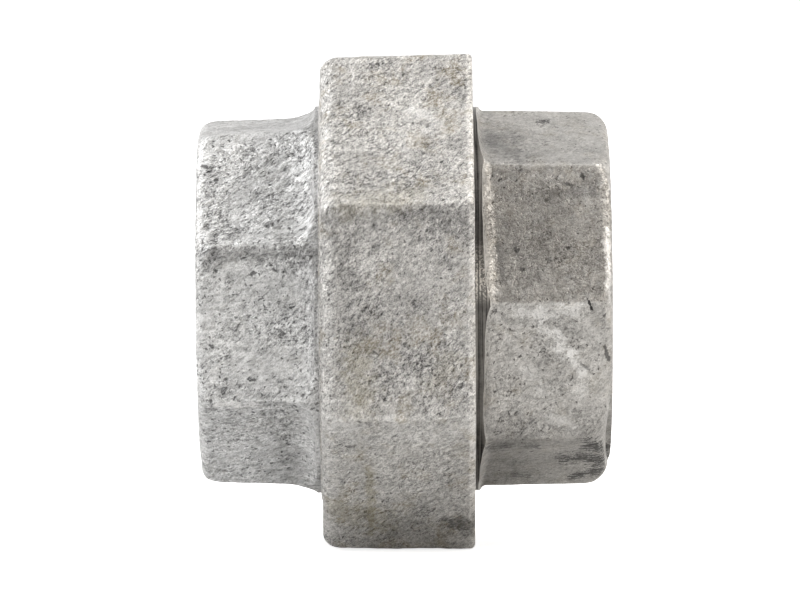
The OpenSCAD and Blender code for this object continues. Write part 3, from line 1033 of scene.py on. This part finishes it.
# ---------------------------------------------------------------- tail end
def tail_outside(angles, corner):
    ring = Ring(angles)
    lean = 0.022 * near(angles, 162.8, 0.26) - 0.033 * near(angles, 207.8, 0.26)
    octagon = Octagon(angles, corner, taper(TAIL_MOUTH, 33.1, NUT_BACK, 33.92),
                      wobble=lambda x: lean + 0.008 * np.sin(x / 4.5 + 1.0),
                      rounding=1.5, sink=0.30)
    mouth = TAIL_MOUTH + 0.45 * near(angles, 238, 0.4)

    def envelope(x):
        return dome(x, mouth, -1, radius=36.1, length=4.6, height=3.6)

    fillet_length, fillet_height = 5.4, 3.3
    fillet_start = NUT_HUB - 0.75 - fillet_length
    # corner_line lightens the corners: partly worn zinc, partly a painted highlight. On the
    # fillet by the nut the edge value paints shade on the sides and top and a highlight on the
    # underside; where negative it also raises the roughness.
    corner_line = 0.8 * ridge(angles + octagon.wobble(-28.0), corner, 35.0, 0.5)
    up = np.sin(angles)
    dulling_and_painted_light = -0.70 - 0.45 * np.exp(-(up / 0.3) ** 2) - np.where(up > 0, 0.1, 3.0) * up

    def cast_radius(x):
        u = np.clip((x - fillet_start) / fillet_length, 0, 1)
        radius = octagon.radius(x)
        if np.min(x) < TAIL_MOUTH + 6:
            radius = soft_min(radius, envelope(x), 0.5)
        rise = fillet_height * (1 - np.sqrt(np.maximum(1 - u * u, 0)))
        return soft_min(radius + rise, TAIL_NECK, 0.3)

    # from the mouth inwards, then on over the neck
    rim_length, rim_height = 1.8, 1.5
    rim_radius = soft_min(
        octagon.radius(TAIL_MOUTH, rim_height, sharpen=rim_height * 0.5, hollow=0.0),
        envelope(TAIL_MOUTH), 0.5)
    add_end_face(ring, mouth, rim_radius, TAIL_MOUTH, (0.75, 0.5, 0.25))
    add_rim(ring, octagon, mouth, -1, rim_length, rim_height, weight=0.6, envelope=envelope,
            slopes=np.linspace(math.pi / 2, 0, 10))
    x = TAIL_MOUTH + rim_length + 0.37
    while x < NUT_HUB - 0.2:
        u = clamp((x - fillet_start) / fillet_length)
        pull = max(0.0, 1 - (x - TAIL_MOUTH - rim_length) / 6.0) ** 2
        row_x = x + (mouth - TAIL_MOUTH) * pull
        ring.add(row_x, cast_radius(row_x), weight=1.0 - 0.65 * clamp((x - NUT_HUB + 4.6) / 3.2),
                 edge=corner_line * (1 - u) + u * (2 - u) * dulling_and_painted_light)
        x += 0.37 if x < NUT_HUB - 4 else 0.22
    ring.add(NUT_HUB - 0.05, TAIL_NECK - 0.04, weight=0.15)
    ring.add(NUT_BACK + 0.6, TAIL_NECK, TURNED)
    return ring


def tail_inside(angles):
    ring = Ring(angles)
    mouth, seat = TAIL_MOUTH, TAIL_SEAT
    for x in np.linspace(NUT_BACK + 1.2, SHOULDER - 0.2, 5):
        ring.add(x, TAIL_NECK, TURNED)
    collar = SHOULDER + 0.05
    ring.trace(TURNED, (collar, TAIL_NECK + 0.15), (collar, 38.6), (collar + 0.45, TAIL_COLLAR))
    for x in np.linspace(collar + 1.0, seat - 0.9, 4):
        ring.add(x, TAIL_COLLAR, TURNED)
    ring.add(seat - 0.45, TAIL_COLLAR, TURNED)
    ring.add(seat, 38.6, FACE)
    for radius in np.linspace(38.3, WATER_R + 0.8, 14):
        ring.add(seat, radius, FACE)
    ring.trace(CAST, (seat, WATER_R + 0.5), (seat - 0.5, WATER_R))
    for x in np.arange(seat - 1.5, mouth + 25.0, -1.3):
        ring.add(x, WATER_R, weight=0.5)
    ring.add(mouth + PIPE_LENGTH + 0.6, WATER_R, THREAD)
    pipe = thread_rows(angles, mouth, mouth + PIPE_LENGTH, PIPE_MAJOR, PIPE_MINOR,
                       MOUTH_CONE, INNER_CONE, internal=True)
    ring.trace(THREAD, *reversed(pipe))
    ring.add(mouth, BORE_LIP)
    return ring


def make_tail():
    corner = math.pi - math.radians(17.2)
    angles = ring_angles(corner, 88)
    spots = scatter(41, 620, TAIL_MOUTH + 1, NUT_BACK - 1, ring_radius=34.6, size=(0.25, 0.55),
                    depth=(0.14, 0.36))
    rough = casting_rough(seed=21, low=0.08, mid=0.085, small=0.055, slope=0.62, stretch=0.42,
                          spots=spots, corner=corner, facets=TAIL_FACETS, vary=0.45)
    build("tail_end_casting", "tail_end",
          tail_outside(angles, corner), tail_inside(angles[::2]), rough,
          [TAIL_ZINC, NECK_IRON, THREAD_IRON, FACE_IRON])


# --------------------------------------------------------------- union nut
def nut_outside(angles, corner):
    """From the open face over the flats to the back face and the hub."""
    ring = Ring(angles)
    lean = -0.030 * near(angles, 202.5, 0.28)

    def wobble(x):
        step = 1 / (1 + math.exp(-(x - 4.0) / 2.5)) - 0.45
        return lean + 0.012 * step + 0.003 * math.sin(x / 2.1)

    octagon = Octagon(angles, corner, taper(NUT_BACK, NUT_FLAT - 0.5, NUT_OPEN, NUT_FLAT),
                      wobble, rounding=1.2, sink=0.28)
    # corner_line lightens the corners: partly worn zinc, partly a painted highlight.
    corner_line = 0.9 * ridge(angles + lean, corner, 47.0, 0.5)
    open_edge = 1.0
    back_length, back_height = 3.3, 2.6
    rim_radius = octagon.radius(NUT_OPEN, open_edge, hollow=0.0)
    for t in (0.25, 0.5, 0.75, 1.0):
        ring.add(NUT_OPEN, 42.4 + (rim_radius - 42.4) * t, FACE if t < 1 else CAST, weight=0.12)
    # edge paints a highlight along the rounded edge of the open face.
    for slope in np.linspace(math.pi / 2, 0, 6)[1:]:
        x = NUT_OPEN - open_edge * (1 - math.sin(slope))
        inset = open_edge * (1 - math.cos(slope))
        ring.add(x, octagon.radius(x, inset, hollow=math.cos(slope)), weight=0.3, edge=2.2)
    x = NUT_OPEN - open_edge - 0.44
    while x > NUT_BACK + back_length + 0.2:
        ring.add(x, octagon.radius(x), weight=1.0, edge=corner_line)
        x -= 0.44
    # edge lightens the middle of the back rounding: partly wear, partly a painted highlight.
    for slope in np.linspace(0, math.pi / 2, 13):
        x = NUT_BACK + back_length * (1 - math.sin(slope))
        inset = back_height * (1 - math.cos(slope))
        ring.add(x, octagon.radius(x, inset, hollow=math.cos(slope)), weight=0.8,
                 edge=0.5 * math.sin(2 * slope) ** 2)
    rim_radius = octagon.radius(NUT_BACK, back_height, hollow=0.0)
    for t in (0.15, 0.3, 0.45, 0.6, 0.75, 0.88, 1.0):
        ring.add(NUT_BACK, rim_radius + (39.0 - rim_radius) * t, weight=0.6)
    for x, radius, weight in ((NUT_BACK - 0.2, 38.75, 0.5), (NUT_HUB + 0.06, 38.4, 0.4),
                              (NUT_HUB, 38.1, 0.3), (NUT_HUB, 37.7, 0.2)):
        ring.add(x, radius, weight=weight)
    return ring


def nut_inside(angles):
    ring = Ring(angles)
    ring.add(NUT_HUB + 0.2, NUT_HOLE + 0.15)
    ring.add(NUT_HUB + 0.6, NUT_HOLE, TURNED)
    for x in np.linspace(NUT_BACK + 0.6, SHOULDER - 0.4, 4):
        ring.add(x, NUT_HOLE, TURNED)
    undercut = UNION_MAJOR + 0.5
    ring.trace(TURNED, (SHOULDER, 37.6), (SHOULDER, 39.4), (SHOULDER, undercut - 0.3),
               (SHOULDER + 0.3, undercut), (SHOULDER + 1.8, undercut))
    thread_start = SHOULDER + 3.2
    ring.add(thread_start - 0.2, undercut, THREAD)
    ring.trace(THREAD, *thread_rows(
        angles, thread_start, NUT_OPEN, UNION_MAJOR + 0.06, UNION_MINOR + 0.06,
        undercut - 0.1, UNION_MAJOR + 0.9, internal=True, ridge_x=PITCH / 2))
    ring.add(NUT_OPEN, UNION_MAJOR + 1.1, FACE)
    return ring


def make_nut():
    corner = HALF
    angles = ring_angles(corner, 88)
    spots = scatter(51, 520, NUT_BACK + 1, NUT_OPEN - 1, ring_radius=47.6, size=(0.3, 0.55),
                    depth=(0.10, 0.28))
    rough = casting_rough(seed=31, low=0.11, mid=0.07, small=0.055, slope=0.40, stretch=0.7,
                          spots=spots, corner=corner, facets=NUT_FACETS, vary=0.26)
    build("union_nut_casting", "union_nut",
          nut_outside(angles, corner), nut_inside(angles[::2]), rough,
          [NUT_ZINC, NECK_IRON, THREAD_IRON, FACE_IRON])


# ------------------------------------------------------------------ gasket
def make_gasket():
    angles = np.linspace(SEAM, SEAM + 2 * math.pi, 385)
    x0, x1, rim = gasket_low[0], gasket_high[0], gasket_high[1]
    middle = (x0 + x1) / 2
    outer, inner = Ring(angles), Ring(angles[::2])
    for radius in np.linspace(rim - 0.2, GASKET_BORE + 0.2, 22):
        outer.add(x0 + 0.02, radius, weight=1.0)
    for x, radius in ((x0 + 0.2, GASKET_BORE), (middle, GASKET_BORE - 0.03),
                      (x1 - 0.2, GASKET_BORE)):
        inner.add(x, radius, weight=0.4)
    for radius in np.linspace(GASKET_BORE + 0.2, rim - 0.2, 22):
        inner.add(x1 - 0.02, radius, weight=1.0)
    for x, radius in ((x1 - 0.2, rim - 0.02), (middle, rim), (x0 + 0.2, rim - 0.02)):
        inner.add(x, radius, weight=0.4)

    def rough(points):
        push = (-0.015 * np.abs(noise(points / 2.2, 71))
                - 0.01 * np.abs(noise(points / 5.0, 72)))
        return push, np.zeros(len(points)), np.ones(len(points))

    build("seat_gasket_ring", "seat_gasket", outer, inner, rough, [FIBRE])


make_threaded()
make_tail()
make_nut()
make_gasket()

# ------------------------------------------------------------ stage, metres
scene = bpy.context.scene


def floor_material():
    """Pale floor with a glow, seen only by the camera, that runs out to white."""
    material = bpy.data.materials.new("pale_floor")
    material.use_nodes = True
    graph = Graph(material.node_tree)
    nodes = graph.tree.nodes
    shader = nodes["Principled BSDF"]
    for name, value in (("Base Color", (0.75, 0.75, 0.747, 1)), ("Roughness", 0.75),
                        ("Specular IOR Level", 0.2)):
        shader.inputs[name].default_value = value
    position = graph.node("NewGeometry").outputs["Position"]
    length = graph.node("VectorMath", {0: position}, operation="LENGTH").outputs["Value"]
    glow = Signal(graph, length).remap(source=(0.03, 0.25), target=(0.74, 1.2), kind="LINEAR")
    glow = glow * graph.node("LightPath").outputs["Is Camera Ray"]
    emission = graph.node("Emission", {"Strength": glow})
    total = graph.node("AddShader", {0: shader.outputs[0], 1: emission.outputs[0]})
    graph.link(total.outputs[0], nodes["Material Output"].inputs[0])
    return material


def make_floor(half=15.0, gap=0.00015):
    mesh = bpy.data.meshes.new("floor")
    mesh.from_pydata([(-half, -half, 0), (half, -half, 0), (half, half, 0), (-half, half, 0)],
                     [], [(0, 1, 2, 3)])
    floor = bpy.data.objects.new("floor", mesh)
    floor.location = (0, 0, cad_box[0][2] - gap)
    scene.collection.objects.link(floor)
    mesh.materials.append(floor_material())


make_floor()
scene.view_settings.view_transform = "Standard"
scene.view_settings.look = "None"
scene.view_settings.exposure = 0.0
scene.view_settings.gamma = 1.0

# Sky brightness: position from straight down (0) to straight up (1), and level.
# Bright near the horizon, dim at mid height, bright overhead.
SKY = ((0.0, 0.94), (0.58, 0.94), (0.68, 0.05), (0.86, 0.05), (0.95, 0.72), (1.0, 0.72))
# the pale backdrop stands behind the object, towards +Y, and reaches higher
BACKDROP = ((0.0, 1.0), (0.64, 1.0), (0.76, 0.05), (0.86, 0.05), (0.95, 0.72), (1.0, 0.72))


def band_colours(graph, height, bands):
    node = graph.node("ValToRGB", {0: height})
    elements = node.color_ramp.elements
    for position, _ in bands[1:-1]:
        elements.new(position)
    for element, (position, level) in zip(elements, bands):
        element.position = position
        element.color = (level, level * 0.985, level * 0.965, 1)
    return node.outputs[0]


def make_world():
    """White to the camera; the banded sky lights the object."""
    world = bpy.data.worlds.new("studio")
    scene.world = world
    world.use_nodes = True
    graph = Graph(world.node_tree)
    graph.tree.nodes.clear()
    _, y, z = graph.split(graph.node("TexCoord").outputs["Generated"])
    height = z.remap(source=(-1, 1), kind="LINEAR")
    behind = y.remap(source=(0.25, 0.75), kind="LINEAR")
    sky = graph.mix(behind, band_colours(graph, height, SKY),
                    band_colours(graph, height, BACKDROP))
    seen = graph.node("Background", {"Color": (1, 1, 1, 1), "Strength": 1.15})
    lit = graph.node("Background", {"Color": sky, "Strength": 1.25})
    camera_ray = graph.node("LightPath").outputs["Is Camera Ray"]
    both = graph.node("MixShader", {0: camera_ray, 1: lit.outputs[0], 2: seen.outputs[0]})
    graph.node("OutputWorld", {0: both.outputs[0]})


def area(name, location, size, power, color=(1, 1, 1)):
    """A rectangular light aimed at the origin."""
    light = bpy.data.lights.new(name, "AREA")
    light.shape = "RECTANGLE"
    light.size, light.size_y = size
    light.energy = power
    light.color = color
    lamp = bpy.data.objects.new(name, light)
    lamp.location = location
    aim = Vector((0, 0, 0)) - Vector(location)
    lamp.rotation_euler = aim.to_track_quat("-Z", "Y").to_euler()
    scene.collection.objects.link(lamp)


def make_camera(target, elevation, distance, roll):
    data = bpy.data.cameras.new("camera")
    data.sensor_width = 36.0
    data.lens = 292.5
    data.clip_start, data.clip_end = 0.05, 50.0
    camera = bpy.data.objects.new("camera", data)
    place = target + Vector((0, -math.cos(elevation), math.sin(elevation))) * distance
    aim = (target - place).to_track_quat("-Z", "Y").to_matrix().to_4x4()
    camera.matrix_world = Matrix.Translation(place) @ aim @ Matrix.Rotation(roll, 4, "Z")
    scene.collection.objects.link(camera)
    scene.camera = camera


make_world()
area("top_left", location=(-0.75, -0.10, 0.65), size=(0.6, 0.6), power=7.4)
area("right_top", location=(0.70, 0.0, 0.70), size=(0.5, 0.5), power=4.8,
     color=(1, 0.965, 0.91))
area("right_front", location=(0.80, -0.62, 0.26), size=(0.16, 0.16), power=1.15,
     color=(1, 0.90, 0.78))
area("back", location=(-0.15, 0.9, 0.8), size=(1.2, 0.7), power=1.4)
make_camera(target=Vector((-0.0008, 0.0, -0.0002)), elevation=math.radians(2.0),
            distance=1.245, roll=math.radians(-0.4))
